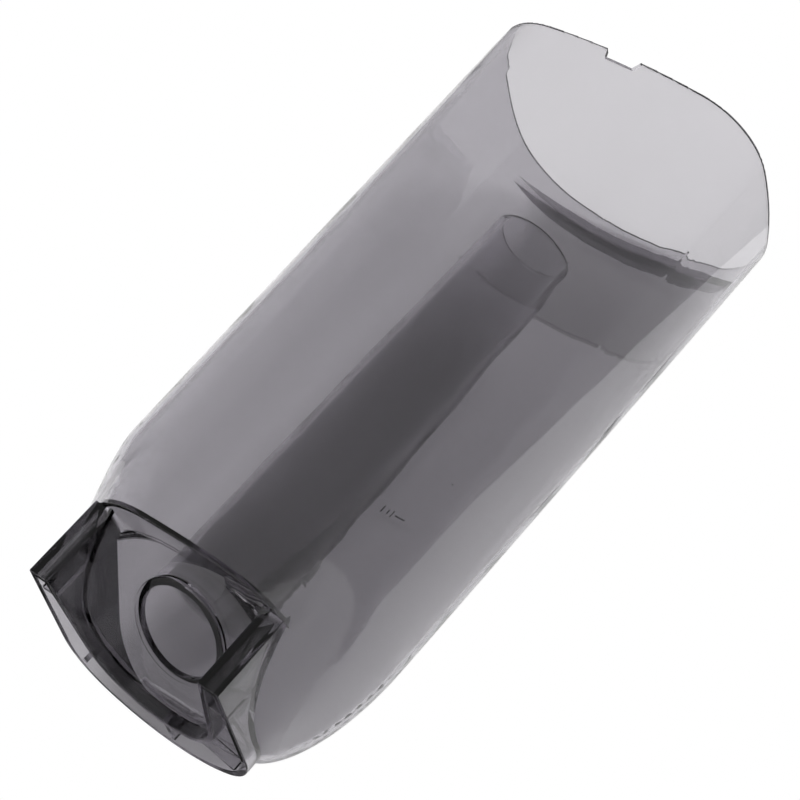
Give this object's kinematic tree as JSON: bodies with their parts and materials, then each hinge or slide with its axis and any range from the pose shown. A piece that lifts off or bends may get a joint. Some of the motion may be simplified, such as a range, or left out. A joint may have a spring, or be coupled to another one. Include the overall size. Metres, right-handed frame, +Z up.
{
  "type": "dirty water tank",
  "caption": "Deep clear grey tank with a rounded D section, open top, sloping inlet port and tall inner standpipe, on a U-shaped foot skirt.",
  "frame": {"origin": "middle of the tank's width and depth, on the plane that the foot skirt stands on", "axes": "+Z up the tank to its open mouth; +Y towards the flat back with the rim notch and the recess; -Y is the bowed front with the finger grip; +X completes a right-handed frame"},
  "size_m": [0.1, 0.0867, 0.228],
  "materials": {
    "tank": "clear smoke-grey, moulded and polished"
  },
  "bodies": {
    "root": {"tank": "tank"}
  },
  "joints": []
}
